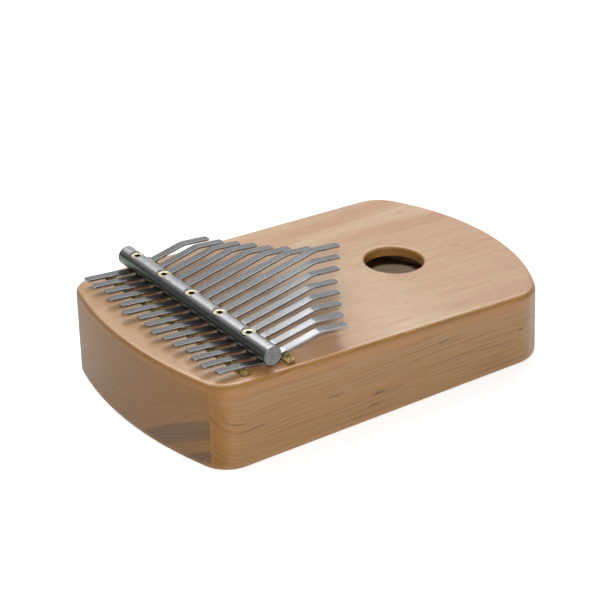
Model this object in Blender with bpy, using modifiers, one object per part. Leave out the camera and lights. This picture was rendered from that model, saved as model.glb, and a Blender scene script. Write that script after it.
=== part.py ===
"""A box mbira with fifteen tines, modelled at its real size.

Metres, +Z up, +Y away from the player's near end, origin under the middle of the box.
The box is one block of wood whose top falls away towards the far end. It is hollowed from
behind under the sound hole and closed by a let-in back plate. Everything that makes the
sound stands on the sloping top: two threaded rods as bridges, a round bar that five screws
pull down between them, and fifteen spring steel tines that are clamped between the three.
"""

import math

import bmesh
import bpy
from mathutils import Matrix, Vector

MM = 0.001

# Box
BOX_WIDTH = 140 * MM
BOX_LENGTH = 225 * MM
NEAR_HEIGHT = 47.5 * MM
FAR_HEIGHT = 37.5 * MM
NEAR_BOW = 11.8 * MM  # how far the middle of the near end stands out past its sides
FAR_BOW = 23.6 * MM
NEAR_CORNER = 16.6 * MM
FAR_CORNER = 20 * MM
TOP_EDGE_ROUND = 2.6 * MM
BOTTOM_EDGE_ROUND = 2 * MM

# Hollow and back
TOP_PLATE = 5 * MM
WALL = 9 * MM
HOLLOW_NEAR_Y = -42 * MM
HOLLOW_CORNER = 7 * MM
LEDGE = 5 * MM
BACK_THICKNESS = 6 * MM
FIT_GAP = 0.3 * MM  # kept between any two pieces that touch

# Sound hole
HOLE_Y = 50.8 * MM  # along the slope, from the middle of the top
HOLE_RADIUS = 15.2 * MM
HOLE_LIP = 1.8 * MM

# Bridges: threaded rods, sunk a little into grooves
FRONT_ROD_RADIUS = 2.5 * MM
FRONT_ROD_LENGTH = 131 * MM
FRONT_ROD_Y = -58.5 * MM
FRONT_ROD_TOP = 4.25 * MM  # above the wood
REAR_ROD_RADIUS = 2 * MM
REAR_ROD_LENGTH = 128 * MM
REAR_ROD_Y = -83.1 * MM
REAR_ROD_TOP = 2.45 * MM
ROD_CHAMFER = 0.4 * MM

# Clamp bar
BAR_RADIUS = 5 * MM
BAR_LENGTH = 133.5 * MM
BAR_OFFSET = 0.75 * MM  # the bar sits this far towards +X
BAR_Y = -70.4 * MM
BAR_UNDERSIDE = 3.2 * MM  # above the wood
BAR_CHAMFER = 0.4 * MM

# Clamp screws: flat heads in milled pockets
SCREW_COUNT = 5
SCREW_LENGTH = 30 * MM
SCREW_HEAD_RADIUS = 3.5 * MM
SCREW_HEAD_RIM = 0.3 * MM
SCREW_SHANK_RADIUS = 1.5 * MM
SCREW_TIP = 3 * MM
SCREW_SOCKET_RADIUS = 1.5 * MM
SCREW_SOCKET_DEPTH = 1.4 * MM
HEAD_BELOW_BAR_TOP = 1 * MM
POCKET_CLEARANCE = 0.6 * MM

# Tines
TINE_PITCH = 8.48 * MM
TINE_WIDTH = 4.6 * MM
TINE_THICKNESS = 1 * MM
TINE_CORNER = 1.2 * MM
TINES_PER_SCREW = 3
FIRST_SCREW_GAP = 1  # the first screw stands between the first tine and the second
TIP_LENGTH = 15.5 * MM  # the level part that the thumb plays
TIP_SLOPE = -0.06
BEND_RADIUS = 9 * MM
TAIL_SLOPE = -0.06
RISE = 0.235  # slope of the middle tine from the front bridge to its bend
RISE_STEP = -0.0025  # each tine towards +X is set this much flatter
PIVOT_SHARE = 0.15  # a clamped strip bends as if hinged at this share of its playing length

# The tuning: how far each tine reaches in front of the front bridge, as a share of the middle
# tine, and behind the rear bridge, as a share of the usual tail. The middle tine is the
# lowest note, and the scale climbs outwards from side to side.
LONGEST_PLAYING_LENGTH = 73.5 * MM
TUNING = (0.45, 0.495, 0.56, 0.625, 0.68, 0.755, 0.85, 1, 0.92, 0.835, 0.74, 0.675, 0.605, 0.54, 0.49)
TAIL_LENGTH = 16 * MM
TAIL_TRIM = (0.97, 1, 0.88, 1.06, 0.97, 1.18, 0.97, 1.03, 1.15, 1.06, 1.03, 0.9, 1.03, 1.06, 0.88)

# Smoothness
CORNER_STEPS = 6
BOW_STEPS = 16
EDGE_STEPS = 3
HOLE_STEPS = 40
LIP_STEPS = 4
BAR_STEPS = 32
ROD_STEPS = 24
SCREW_STEPS = 18
PILOT_STEPS = 12
DIP_STEPS = 3
BEND_STEPS = 3
SMOOTH_ANGLE = math.radians(35)
BLEND_ANGLE = math.radians(1)  # flatter joins than this are one face

CUT_MARGIN = 1 * MM  # how far a cutter sticks out of what it cuts

# Derived
TOP_SLOPE = (FAR_HEIGHT - NEAR_HEIGHT) / BOX_LENGTH
TOP_TILT = math.atan(TOP_SLOPE)
MIDDLE_HEIGHT = (NEAR_HEIGHT + FAR_HEIGHT) / 2
TINE_COUNT = len(TUNING)
PLAYING_LENGTHS = [LONGEST_PLAYING_LENGTH * share for share in TUNING]
TAIL_LENGTHS = [TAIL_LENGTH * share for share in TAIL_TRIM]
BAR_AXIS_Z = BAR_UNDERSIDE + BAR_RADIUS
HEAD_TOP_Z = BAR_AXIS_Z + BAR_RADIUS - HEAD_BELOW_BAR_TOP
CONE_DEPTH = SCREW_HEAD_RADIUS - SCREW_SHANK_RADIUS  # a right-angled cone


# ---------------------------------------------------------------- scene, materials, objects


def empty_scene():
    """Remove every object, so that the model starts from nothing."""
    for item in list(bpy.data.objects):
        bpy.data.objects.remove(item, do_unlink=True)


def new_collection(name):
    """Make a collection and hang it under the scene."""
    collection = bpy.data.collections.new(name)
    bpy.context.scene.collection.children.link(collection)
    return collection


def new_material(name, color, roughness, metallic):
    """Make a material with one Principled shader."""
    material = bpy.data.materials.new(name)
    material.use_nodes = True
    shader = material.node_tree.nodes["Principled BSDF"]
    shader.inputs["Base Color"].default_value = (*color, 1)
    shader.inputs["Roughness"].default_value = roughness
    shader.inputs["Metallic"].default_value = metallic
    material.diffuse_color = (*color, 1)
    return material


def new_object(name, mesh, collection, material=None, parent=None, location=(0, 0, 0)):
    """Wrap a mesh in an object, smooth its round faces and hang it on its parent."""
    item = bpy.data.objects.new(name, mesh)
    collection.objects.link(item)
    if material:
        item.data.materials.append(material)
    mesh.shade_smooth()
    mesh.set_sharp_from_angle(angle=SMOOTH_ANGLE)
    item.parent = parent
    item.location = location
    return item


def as_cutter(item):
    """Mark an object as a tool that only cuts."""
    item.hide_render = True
    item.display_type = "WIRE"
    return item


def cut(target, cutter):
    """Take a cutter out of an object."""
    boolean = target.modifiers.new("cut " + cutter.name, "BOOLEAN")
    boolean.operation = "DIFFERENCE"
    boolean.solver = "EXACT"
    boolean.object = cutter


# ---------------------------------------------------------------- outlines and basic solids


def arc(centre_x, centre_y, radius, start, end, steps):
    """Points along a circular arc, with both of its ends."""
    angles = [start + (end - start) * step / steps for step in range(steps + 1)]
    return [(centre_x + radius * math.cos(a), centre_y + radius * math.sin(a)) for a in angles]


def bow_radius(bow):
    """Radius of the arc over the box's width that stands out by the given amount."""
    half_width = BOX_WIDTH / 2
    return (half_width**2 + bow**2) / (2 * bow)


def bowed_end(half_width, end_y, radius, corner, side):
    """One end of an outline, from +X to -X: a corner, a wide arc and a corner.

    side is 1 for the far end and -1 for the near end.
    """
    centre_y = end_y - side * radius
    rise = math.sqrt((radius - corner) ** 2 - (half_width - corner) ** 2)
    corner_y = centre_y + side * rise
    turn = math.atan2(rise, half_width - corner)
    right = arc(half_width - corner, corner_y, corner, 0, side * turn, CORNER_STEPS)
    middle = arc(0, centre_y, radius, side * turn, side * (math.pi - turn), BOW_STEPS)
    left = arc(corner - half_width, corner_y, corner, side * (math.pi - turn), side * math.pi, CORNER_STEPS)
    return right + middle[1:-1] + left


def square_end(half_width, end_y, corner, side):
    """A straight end of an outline with round corners, from +X to -X."""
    corner_y = end_y - side * corner
    quarter = side * math.pi / 2
    right = arc(half_width - corner, corner_y, corner, 0, quarter, CORNER_STEPS)
    left = arc(corner - half_width, corner_y, corner, quarter, 2 * quarter, CORNER_STEPS)
    return right + left


def box_outline():
    """The box seen from above."""
    far = bowed_end(BOX_WIDTH / 2, BOX_LENGTH / 2, bow_radius(FAR_BOW), FAR_CORNER, 1)
    near = bowed_end(BOX_WIDTH / 2, -BOX_LENGTH / 2, bow_radius(NEAR_BOW), NEAR_CORNER, -1)
    return far + near[::-1]


def hollow_outline(grow=0):
    """The hollow seen from above, grown outwards by the given amount."""
    half_width = BOX_WIDTH / 2 - WALL + grow
    radius = bow_radius(FAR_BOW) - WALL + grow
    corner = HOLLOW_CORNER + grow
    far = bowed_end(half_width, BOX_LENGTH / 2 - WALL + grow, radius, corner, 1)
    near = square_end(half_width, HOLLOW_NEAR_Y - grow, corner, -1)
    return far + near[::-1]


def curve_mesh(curve_object):
    """Turn a curve object into a welded mesh and remove the curve."""
    graph = bpy.context.evaluated_depsgraph_get()
    mesh = bpy.data.meshes.new_from_object(curve_object.evaluated_get(graph))
    mesh.transform(curve_object.matrix_world)
    bpy.data.objects.remove(curve_object, do_unlink=True)
    solid = bmesh.new()
    solid.from_mesh(mesh)
    bmesh.ops.remove_doubles(solid, verts=solid.verts, dist=MM / 1000)
    bmesh.ops.dissolve_limit(solid, angle_limit=BLEND_ANGLE, verts=solid.verts, edges=solid.edges)
    bmesh.ops.recalc_face_normals(solid, faces=solid.faces)
    solid.to_mesh(mesh)
    solid.free()
    return mesh


def slab_mesh(outline, bottom, top):
    """An outline given thickness between two heights."""
    curve = bpy.data.curves.new("outline", "CURVE")
    curve.dimensions = "2D"
    curve.fill_mode = "BOTH"
    curve.extrude = (top - bottom) / 2
    spline = curve.splines.new("POLY")
    spline.points.add(len(outline) - 1)
    for point, (x, y) in zip(spline.points, outline):
        point.co = (x, y, 0, 1)
    spline.use_cyclic_u = True
    item = bpy.data.objects.new("outline", curve)
    bpy.context.scene.collection.objects.link(item)
    item.location.z = (top + bottom) / 2
    bpy.context.view_layer.update()
    return curve_mesh(item)


def cut_to_slope(mesh, depth):
    """Cut a slab off along the plane that lies the given depth under the sloping top."""
    solid = bmesh.new()
    solid.from_mesh(mesh)
    normal = Vector((0, -TOP_SLOPE, 1)).normalized()
    point = Vector((0, 0, MIDDLE_HEIGHT)) - normal * depth
    geometry = solid.verts[:] + solid.edges[:] + solid.faces[:]
    bmesh.ops.bisect_plane(solid, geom=geometry, plane_co=point, plane_no=normal, clear_outer=True)
    rim = [edge for edge in solid.edges if edge.is_boundary]
    bmesh.ops.contextual_create(solid, geom=rim)
    bmesh.ops.recalc_face_normals(solid, faces=solid.faces)
    solid.to_mesh(mesh)
    solid.free()


def round_rims(mesh, top_radius, bottom_radius):
    """Round the rim of a slab's largest upward and downward faces."""
    solid = bmesh.new()
    solid.from_mesh(mesh)
    for direction, radius in ((1, top_radius), (-1, bottom_radius)):
        cap = max(solid.faces, key=lambda face: face.normal.z * direction * face.calc_area())
        bmesh.ops.bevel(
            solid,
            geom=list(cap.edges),
            offset=radius,
            offset_type="OFFSET",
            segments=EDGE_STEPS,
            profile=0.5,
            affect="EDGES",
        )
    solid.to_mesh(mesh)
    solid.free()


def rod_mesh(radius, length, steps):
    """A cylinder along X, centred on its origin."""
    mesh = bpy.data.meshes.new("rod")
    solid = bmesh.new()
    bmesh.ops.create_cone(
        solid, cap_ends=True, segments=steps, radius1=radius, radius2=radius, depth=length
    )
    bmesh.ops.rotate(solid, verts=solid.verts, matrix=Matrix.Rotation(math.pi / 2, 3, "Y"))
    solid.to_mesh(mesh)
    solid.free()
    return mesh


def chamfer_ends(item, width):
    """Break the sharp rims at both ends of a rod."""
    bevel = item.modifiers.new("chamfer", "BEVEL")
    bevel.width = width
    bevel.segments = 1
    bevel.limit_method = "ANGLE"
    bevel.angle_limit = math.radians(60)


def turned_object(name, profile, steps, collection, material=None, parent=None, location=(0, 0, 0)):
    """Turn a profile of (radius, height) points about the Z axis."""
    mesh = bpy.data.meshes.new(name)
    mesh.from_pydata([(r, 0, z) for r, z in profile], [(i, i + 1) for i in range(len(profile) - 1)], [])
    item = new_object(name, mesh, collection, material, parent, location)
    screw = item.modifiers.new("turn", "SCREW")
    screw.axis = "Z"
    screw.steps = steps
    screw.render_steps = steps
    screw.use_merge_vertices = True
    screw.merge_threshold = MM / 1000
    screw.use_smooth_shade = True
    return item


# ---------------------------------------------------------------- the box


def hole_profile():
    """Sound hole cutter: a rounded lip that runs into a straight wall."""
    rim = HOLE_RADIUS + HOLE_LIP
    below = TOP_PLATE + CUT_MARGIN
    lip = arc(rim, -HOLE_LIP, HOLE_LIP, math.pi / 2, math.pi, LIP_STEPS)
    return [(0, CUT_MARGIN), (rim, CUT_MARGIN)] + lip + [(HOLE_RADIUS, -below), (0, -below)]


def build_box(parts, cutters, top_plane, wood):
    """The block: a bowed slab under a sloping plane, hollowed, drilled and grooved."""
    mesh = slab_mesh(box_outline(), 0, NEAR_HEIGHT + CUT_MARGIN)
    cut_to_slope(mesh, 0)
    round_rims(mesh, TOP_EDGE_ROUND, BOTTOM_EDGE_ROUND)
    box = new_object("body", mesh, parts, wood)

    hollow = slab_mesh(hollow_outline(), -CUT_MARGIN, NEAR_HEIGHT)
    cut_to_slope(hollow, TOP_PLATE)
    cut(box, as_cutter(new_object("hollow_cutter", hollow, cutters)))

    rebate = slab_mesh(hollow_outline(LEDGE), -CUT_MARGIN, BACK_THICKNESS + FIT_GAP)
    cut(box, as_cutter(new_object("rebate_cutter", rebate, cutters)))

    hole = turned_object(
        "sound_hole_cutter", hole_profile(), HOLE_STEPS, cutters, parent=top_plane, location=(0, HOLE_Y, 0)
    )
    cut(box, as_cutter(hole))

    for name, radius, length, y, top in (
        ("front_groove_cutter", FRONT_ROD_RADIUS, FRONT_ROD_LENGTH, FRONT_ROD_Y, FRONT_ROD_TOP),
        ("rear_groove_cutter", REAR_ROD_RADIUS, REAR_ROD_LENGTH, REAR_ROD_Y, REAR_ROD_TOP),
    ):
        groove = rod_mesh(radius + FIT_GAP, length + 2 * FIT_GAP, ROD_STEPS)
        place = (0, y, top - radius)
        cut(box, as_cutter(new_object(name, groove, cutters, parent=top_plane, location=place)))

    for number in range(1, SCREW_COUNT + 1):
        depth = SCREW_LENGTH - HEAD_TOP_Z + FIT_GAP
        pilot = [(0, CUT_MARGIN), (SCREW_SHANK_RADIUS + FIT_GAP, CUT_MARGIN)]
        pilot += [(SCREW_SHANK_RADIUS + FIT_GAP, -depth), (0, -depth)]
        place = (screw_x(number), BAR_Y, 0)
        name = f"pilot_cutter_{number}"
        bore = turned_object(name, pilot, PILOT_STEPS, cutters, parent=top_plane, location=place)
        cut(box, as_cutter(bore))
    return box


def build_back(parts, wood):
    """The back plate, let in flush with the underside."""
    mesh = slab_mesh(hollow_outline(LEDGE - FIT_GAP), 0, BACK_THICKNESS)
    return new_object("back_plate", mesh, parts, wood)


# ---------------------------------------------------------------- bar, screws and bridges


def tine_x(number):
    """Where a tine lies across the box; tine 1 is at -X."""
    return (number - (TINE_COUNT + 1) / 2) * TINE_PITCH


def screw_x(number):
    """A screw stands in the middle of every third gap between tines."""
    gap = FIRST_SCREW_GAP + TINES_PER_SCREW * (number - 1)
    return (tine_x(gap) + tine_x(gap + 1)) / 2


def screw_profile():
    """A countersunk screw with its flat top at height zero and a socket in it."""
    neck = SCREW_HEAD_RIM + CONE_DEPTH
    return [
        (0, -SCREW_SOCKET_DEPTH),
        (SCREW_SOCKET_RADIUS, -SCREW_SOCKET_DEPTH),
        (SCREW_SOCKET_RADIUS, 0),
        (SCREW_HEAD_RADIUS, 0),
        (SCREW_HEAD_RADIUS, -SCREW_HEAD_RIM),
        (SCREW_SHANK_RADIUS, -neck),
        (SCREW_SHANK_RADIUS, SCREW_TIP - SCREW_LENGTH),
        (0, -SCREW_LENGTH),
    ]


def pocket_profile():
    """What is milled out of the bar for a screw: pocket, countersink and through hole."""
    pocket = SCREW_HEAD_RADIUS + POCKET_CLEARANCE
    bore = SCREW_SHANK_RADIUS + FIT_GAP
    seat = SCREW_HEAD_RIM + FIT_GAP
    above = HEAD_BELOW_BAR_TOP + CUT_MARGIN
    below = 2 * BAR_RADIUS + CUT_MARGIN
    cone_end = bore - pocket - seat
    return [
        (0, above),
        (pocket, above),
        (pocket, -seat),
        (bore, cone_end),
        (bore, -below),
        (0, -below),
    ]


def build_bar(parts, cutters, top_plane, steel):
    """The round clamp bar with a pocket and a through hole for each screw."""
    mesh = rod_mesh(BAR_RADIUS, BAR_LENGTH, BAR_STEPS)
    bar = new_object("clamp_bar", mesh, parts, steel, top_plane, (BAR_OFFSET, BAR_Y, BAR_AXIS_Z))
    chamfer_ends(bar, BAR_CHAMFER)
    for number in range(1, SCREW_COUNT + 1):
        place = (screw_x(number), BAR_Y, HEAD_TOP_Z)
        name = f"pocket_cutter_{number}"
        profile = pocket_profile()
        pocket = turned_object(name, profile, SCREW_STEPS, cutters, parent=top_plane, location=place)
        cut(bar, as_cutter(pocket))
    return bar


def build_screws(parts, top_plane, steel):
    """The five clamp screws, square to the sloping top."""
    for number in range(1, SCREW_COUNT + 1):
        place = (screw_x(number), BAR_Y, HEAD_TOP_Z)
        turned_object(f"clamp_screw_{number}", screw_profile(), SCREW_STEPS, parts, steel, top_plane, place)


def build_bridges(parts, top_plane, brass):
    """The two bridge rods, each resting in its groove."""
    for name, radius, length, y, top in (
        ("front_bridge_rod", FRONT_ROD_RADIUS, FRONT_ROD_LENGTH, FRONT_ROD_Y, FRONT_ROD_TOP),
        ("rear_bridge_rod", REAR_ROD_RADIUS, REAR_ROD_LENGTH, REAR_ROD_Y, REAR_ROD_TOP),
    ):
        mesh = rod_mesh(radius, length, ROD_STEPS)
        rod = new_object(name, mesh, parts, brass, top_plane, (0, y, top - radius))
        chamfer_ends(rod, ROD_CHAMFER)


# ---------------------------------------------------------------- tines


def eased(start, start_slope, end, end_slope, steps):
    """A cubic between two (y, z) points with the given slopes, without its first point."""
    (y0, z0), (y1, z1) = start, end
    run = y1 - y0
    points = []
    for step in range(1, steps + 1):
        t = step / steps
        z = (
            (2 * t**3 - 3 * t**2 + 1) * z0
            + (t**3 - 2 * t**2 + t) * run * start_slope
            + (3 * t**2 - 2 * t**3) * z1
            + (t**3 - t**2) * run * end_slope
        )
        points.append((y0 + t * run, z))
    return points


def dip_slope(rear, bar, front, rise):
    """Slope under the bar that lets the strip bend evenly on both sides of it."""
    rear_run = bar[0] - rear[0]
    front_run = front[0] - bar[0]
    pull = 3 * (bar[1] - rear[1]) / rear_run**2 + 3 * (front[1] - bar[1]) / front_run**2
    pull -= TAIL_SLOPE / rear_run + rise / front_run
    return pull / (2 / rear_run + 2 / front_run)


def tine_path(number):
    """Side view of a tine's lower face, from tail to tip, as (y, z) on the sloping top."""
    rise = RISE + RISE_STEP * (number - (TINE_COUNT + 1) / 2)
    rear = (REAR_ROD_Y, REAR_ROD_TOP + FIT_GAP)
    under_bar = (BAR_Y, BAR_UNDERSIDE - FIT_GAP - TINE_THICKNESS)
    front = (FRONT_ROD_Y, FRONT_ROD_TOP + FIT_GAP)
    tail_length = TAIL_LENGTHS[number - 1]
    tail = (rear[0] - tail_length, rear[1] - TAIL_SLOPE * tail_length)

    dip = dip_slope(rear, under_bar, front, rise)
    path = [tail, rear]
    path += eased(rear, TAIL_SLOPE, under_bar, dip, DIP_STEPS)
    path += eased(under_bar, dip, front, rise, DIP_STEPS)

    tip_y = FRONT_ROD_Y + PLAYING_LENGTHS[number - 1]
    corner_y = tip_y - TIP_LENGTH
    corner_z = front[1] + rise * (corner_y - front[0])
    climb = math.atan(rise)
    level = math.atan(TIP_SLOPE)
    reach = BEND_RADIUS * math.tan((climb - level) / 2)
    centre_y = corner_y - reach * math.cos(climb) + BEND_RADIUS * math.sin(climb)
    centre_z = corner_z - reach * math.sin(climb) - BEND_RADIUS * math.cos(climb)
    quarter = math.pi / 2
    path += arc(centre_y, centre_z, BEND_RADIUS, quarter + climb, quarter + level, BEND_STEPS)
    path.append((tip_y, corner_z + TIP_SLOPE * TIP_LENGTH))
    return path


def tine_mesh(path, pivot):
    """A strip that follows a path, with round corners; the pivot becomes its origin."""
    mesh = bpy.data.meshes.new("tine")
    strip = bmesh.new()
    bmesh.ops.create_grid(strip, x_segments=1, y_segments=len(path) - 1, size=0.5)
    rows = sorted(strip.verts, key=lambda vert: (round(vert.co.y, 6), vert.co.x))
    for index, vert in enumerate(rows):
        y, z = path[index // 2]
        side = 1 if index % 2 else -1
        vert.co = (side * TINE_WIDTH / 2, y - pivot[0], z - pivot[1])
    corners = rows[:2] + rows[-2:]
    bmesh.ops.bevel(
        strip, geom=corners, offset=TINE_CORNER, segments=BEND_STEPS, profile=0.5, affect="VERTICES"
    )
    bmesh.ops.recalc_face_normals(strip, faces=strip.faces)
    if sum(face.normal.z for face in strip.faces) < 0:
        bmesh.ops.reverse_faces(strip, faces=strip.faces)
    strip.to_mesh(mesh)
    strip.free()
    return mesh


def build_tines(parts, top_plane, steel):
    """Fifteen tines, each with its origin on the axis that its playing end bends about."""
    for number in range(1, TINE_COUNT + 1):
        path = tine_path(number)
        pivot_y = FRONT_ROD_Y + PIVOT_SHARE * PLAYING_LENGTHS[number - 1]
        pivot_z = FRONT_ROD_TOP + FIT_GAP + RISE * (pivot_y - FRONT_ROD_Y)
        place = (tine_x(number), pivot_y, pivot_z)
        mesh = tine_mesh(path, (pivot_y, pivot_z))
        tine = new_object(f"tine_{number:02d}", mesh, parts, steel, top_plane, place)
        solidify = tine.modifiers.new("thickness", "SOLIDIFY")
        solidify.thickness = TINE_THICKNESS
        solidify.offset = 1
        solidify.use_even_offset = True


# ---------------------------------------------------------------- assembly


def main():
    """Build the mbira."""
    empty_scene()
    parts = new_collection("mbira")
    cutters = new_collection("cutters")

    wood = new_material("maple", (0.62, 0.42, 0.27), 0.45, 0)
    back_wood = new_material("back_maple", (0.55, 0.38, 0.25), 0.55, 0)
    bar_steel = new_material("bar_steel", (0.45, 0.45, 0.43), 0.3, 1)
    tine_steel = new_material("spring_steel", (0.42, 0.43, 0.45), 0.28, 1)
    screw_steel = new_material("yellow_zinc", (0.75, 0.62, 0.4), 0.3, 1)
    brass = new_material("brass", (0.72, 0.53, 0.25), 0.3, 1)

    top_plane = bpy.data.objects.new("top_plane", None)
    parts.objects.link(top_plane)
    top_plane.location = (0, 0, MIDDLE_HEIGHT)
    top_plane.rotation_euler = (TOP_TILT, 0, 0)
    bpy.context.view_layer.update()

    build_box(parts, cutters, top_plane, wood)
    build_back(parts, back_wood)
    build_bar(parts, cutters, top_plane, bar_steel)
    build_screws(parts, top_plane, screw_steel)
    build_bridges(parts, top_plane, brass)
    build_tines(parts, top_plane, tine_steel)


main()
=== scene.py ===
# %% [markdown]
# # Dressing a box mbira
#
# The instrument is a wedge of oiled maple with a sound hole. On its sloping top, fifteen strips
# of spring steel are held between two threaded brass rods and a steel bar that five screws pull
# down. The construction model already has every piece at its real size. This notebook gives each
# piece the fine surface and the finish that the eye expects: rounded edges, threads, six-lobe
# sockets, wood figure and satin steel. New surfaces are worked out as whole numpy arrays.

import math

import bmesh
import bpy
import numpy as np
from mathutils import Matrix, Vector


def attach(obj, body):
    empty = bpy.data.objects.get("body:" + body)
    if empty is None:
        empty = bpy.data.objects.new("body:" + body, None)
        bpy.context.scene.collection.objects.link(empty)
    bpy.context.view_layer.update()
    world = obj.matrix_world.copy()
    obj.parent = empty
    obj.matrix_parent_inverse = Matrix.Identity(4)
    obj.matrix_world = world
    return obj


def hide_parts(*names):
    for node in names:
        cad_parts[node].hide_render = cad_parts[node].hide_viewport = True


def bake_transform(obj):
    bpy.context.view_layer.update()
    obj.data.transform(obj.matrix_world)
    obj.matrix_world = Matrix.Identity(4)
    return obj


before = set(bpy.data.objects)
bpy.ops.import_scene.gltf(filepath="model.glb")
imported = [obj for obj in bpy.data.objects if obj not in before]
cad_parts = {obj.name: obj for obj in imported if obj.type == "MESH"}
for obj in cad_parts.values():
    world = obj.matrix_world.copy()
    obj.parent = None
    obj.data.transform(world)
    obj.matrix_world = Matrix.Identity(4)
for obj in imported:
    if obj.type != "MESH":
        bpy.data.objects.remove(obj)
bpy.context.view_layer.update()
MM = 0.001


def new_object(name, data):
    """An object with this data, linked into the scene."""
    made = bpy.data.objects.new(name, data)
    bpy.context.scene.collection.objects.link(made)
    return made


# %% [markdown]
# ## The camera
#
# The camera goes in first, because every later choice is judged through it. A product picture
# like this one is taken from more than a metre away with a long lens, which keeps the box's long
# edges almost parallel. The camera's three axes are built from an azimuth, an elevation and a
# small roll, and its place is measured from the point on the floor under the middle of the box.

# %% Camera
AZIMUTH = math.radians(56.18)
ELEVATION = math.radians(27.93)
ROLL = math.radians(-1.71)
CAMERA_PLACE = Vector((0.98970, -0.67153, 0.66721))
LENS = 159.6


def camera_axes(azimuth, elevation, roll):
    """Right, up and forward: the view direction, then right and up turned by the roll."""
    flat = math.cos(elevation)
    forward = Vector((-math.sin(azimuth) * flat, math.cos(azimuth) * flat, -math.sin(elevation)))
    flat_right = Vector((math.cos(azimuth), math.sin(azimuth), 0))
    flat_up = flat_right.cross(forward)
    right = math.cos(roll) * flat_right + math.sin(roll) * flat_up
    up = math.cos(roll) * flat_up - math.sin(roll) * flat_right
    return right, up, forward


camera = new_object("camera", bpy.data.cameras.new("camera"))
camera.data.lens = LENS
right, up, forward = camera_axes(AZIMUTH, ELEVATION, ROLL)
turn = Matrix((right, up, -forward)).transposed().to_4x4()
camera.matrix_world = Matrix.Translation(CAMERA_PLACE) @ turn
bpy.context.scene.camera = camera
print("camera distance to the middle of the box: %.2f m" % CAMERA_PLACE.length)

# %% [markdown]
# ## The sizes
#
# The same sizes as in the construction model, so that each fine surface lies exactly on its
# solid. Lengths are in metres. Everything that stands on the top is easiest to describe on the
# top itself: x across, y along the slope, z square to it. One function turns such places into
# places in the room.

# %% Sizes
BOX_WIDTH, BOX_LENGTH = 140 * MM, 225 * MM
NEAR_HEIGHT, FAR_HEIGHT = 47.5 * MM, 37.5 * MM
NEAR_BOW, FAR_BOW = 11.8 * MM, 23.6 * MM
NEAR_CORNER, FAR_CORNER = 16.6 * MM, 20 * MM
TOP_ROUND, BOTTOM_ROUND = 2.6 * MM, 2 * MM
TOP_PLATE, WALL, LEDGE, BACK = 5 * MM, 9 * MM, 5 * MM, 6 * MM
HOLLOW_NEAR_Y, HOLLOW_CORNER = -42 * MM, 7 * MM
GAP = 0.3 * MM
HOLE_Y, HOLE_RADIUS, HOLE_LIP = 50.8 * MM, 15.2 * MM, 1.8 * MM
FRONT_ROD = dict(radius=2.5 * MM, length=131 * MM, y=-58.5 * MM, top=4.25 * MM, pitch=0.8 * MM)
REAR_ROD = dict(radius=2 * MM, length=128 * MM, y=-83.1 * MM, top=2.45 * MM, pitch=0.7 * MM)
RODS = (("front", FRONT_ROD), ("rear", REAR_ROD))
BAR_RADIUS, BAR_LENGTH, BAR_OFFSET = 5 * MM, 133.5 * MM, 0.75 * MM
BAR_Y, BAR_UNDERSIDE = -70.4 * MM, 3.2 * MM
HEAD_BELOW_BAR_TOP = 1 * MM
HEAD_TOP = BAR_UNDERSIDE + 2 * BAR_RADIUS - HEAD_BELOW_BAR_TOP

MIDDLE_HEIGHT = (NEAR_HEIGHT + FAR_HEIGHT) / 2
TOP_SLOPE = (FAR_HEIGHT - NEAR_HEIGHT) / BOX_LENGTH
TILT = math.atan(TOP_SLOPE)


def on_top(x, y, z):
    """Places given on the sloping top, turned about X by the tilt and lifted to the top."""
    x, y, z = np.broadcast_arrays(x, y, z)
    along = y * math.cos(TILT) - z * math.sin(TILT)
    height = MIDDLE_HEIGHT + y * math.sin(TILT) + z * math.cos(TILT)
    return np.stack([x, along, height], -1)


print("top falls %.1f degrees towards the far end" % -math.degrees(TILT))

# %% [markdown]
# ## From an array to a mesh
#
# A surface is a grid of points in rows and columns, and each cell of the grid is one four-sided
# face. The columns always close on themselves, as around a rod, and the rows can do so too. The
# signed volume (the sum of a . (b x c) / 6 over the triangles) tells whether the faces point
# outwards, and if not, they are turned over. Points that fall together at a pole are welded.

# %% Grid to mesh
SMOOTH_ANGLE = math.radians(32)
WELD_DISTANCE = 0.5e-6


def signed_volume(points, faces):
    """Sum over each quad's two triangles of a . (b x c) / 6."""
    a, b, c, d = (points[faces[:, i]] for i in range(4))
    halves = [np.einsum("ij,ij->i", a, np.cross(p, q)) for p, q in ((b, c), (c, d))]
    return (halves[0] + halves[1]).sum() / 6


def new_piece(name, grid, wrap_rows=False):
    """A closed piece from a grid of points, with its doubles welded and its faces outwards."""
    rows, columns = grid.shape[:2]
    r = np.arange(rows if wrap_rows else rows - 1)[:, None]
    c = np.arange(columns)[None, :]
    next_r, next_c = (r + 1) % rows, (c + 1) % columns
    corners = (r, c), (next_r, c), (next_r, next_c), (r, next_c)
    faces = np.stack([row * columns + column for row, column in corners], -1).reshape(-1, 4)
    points = grid.reshape(-1, 3)
    if signed_volume(points, faces) < 0:
        faces = faces[:, ::-1]
    mesh = bpy.data.meshes.new(name)
    mesh.vertices.add(len(points))
    mesh.vertices.foreach_set("co", points.astype(np.float32).ravel())
    mesh.loops.add(faces.size)
    mesh.loops.foreach_set("vertex_index", faces.astype(np.int32).ravel())
    mesh.polygons.add(len(faces))
    mesh.polygons.foreach_set("loop_start", np.arange(0, faces.size, 4, dtype=np.int32))
    mesh.update(calc_edges=True)
    solid = bmesh.new()
    solid.from_mesh(mesh)
    bmesh.ops.remove_doubles(solid, verts=solid.verts, dist=WELD_DISTANCE)
    bmesh.ops.dissolve_degenerate(solid, edges=solid.edges, dist=1e-7)
    solid.to_mesh(mesh)
    solid.free()
    mesh.shade_smooth()
    mesh.set_sharp_from_angle(angle=SMOOTH_ANGLE)
    return new_object(name, mesh)


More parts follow.
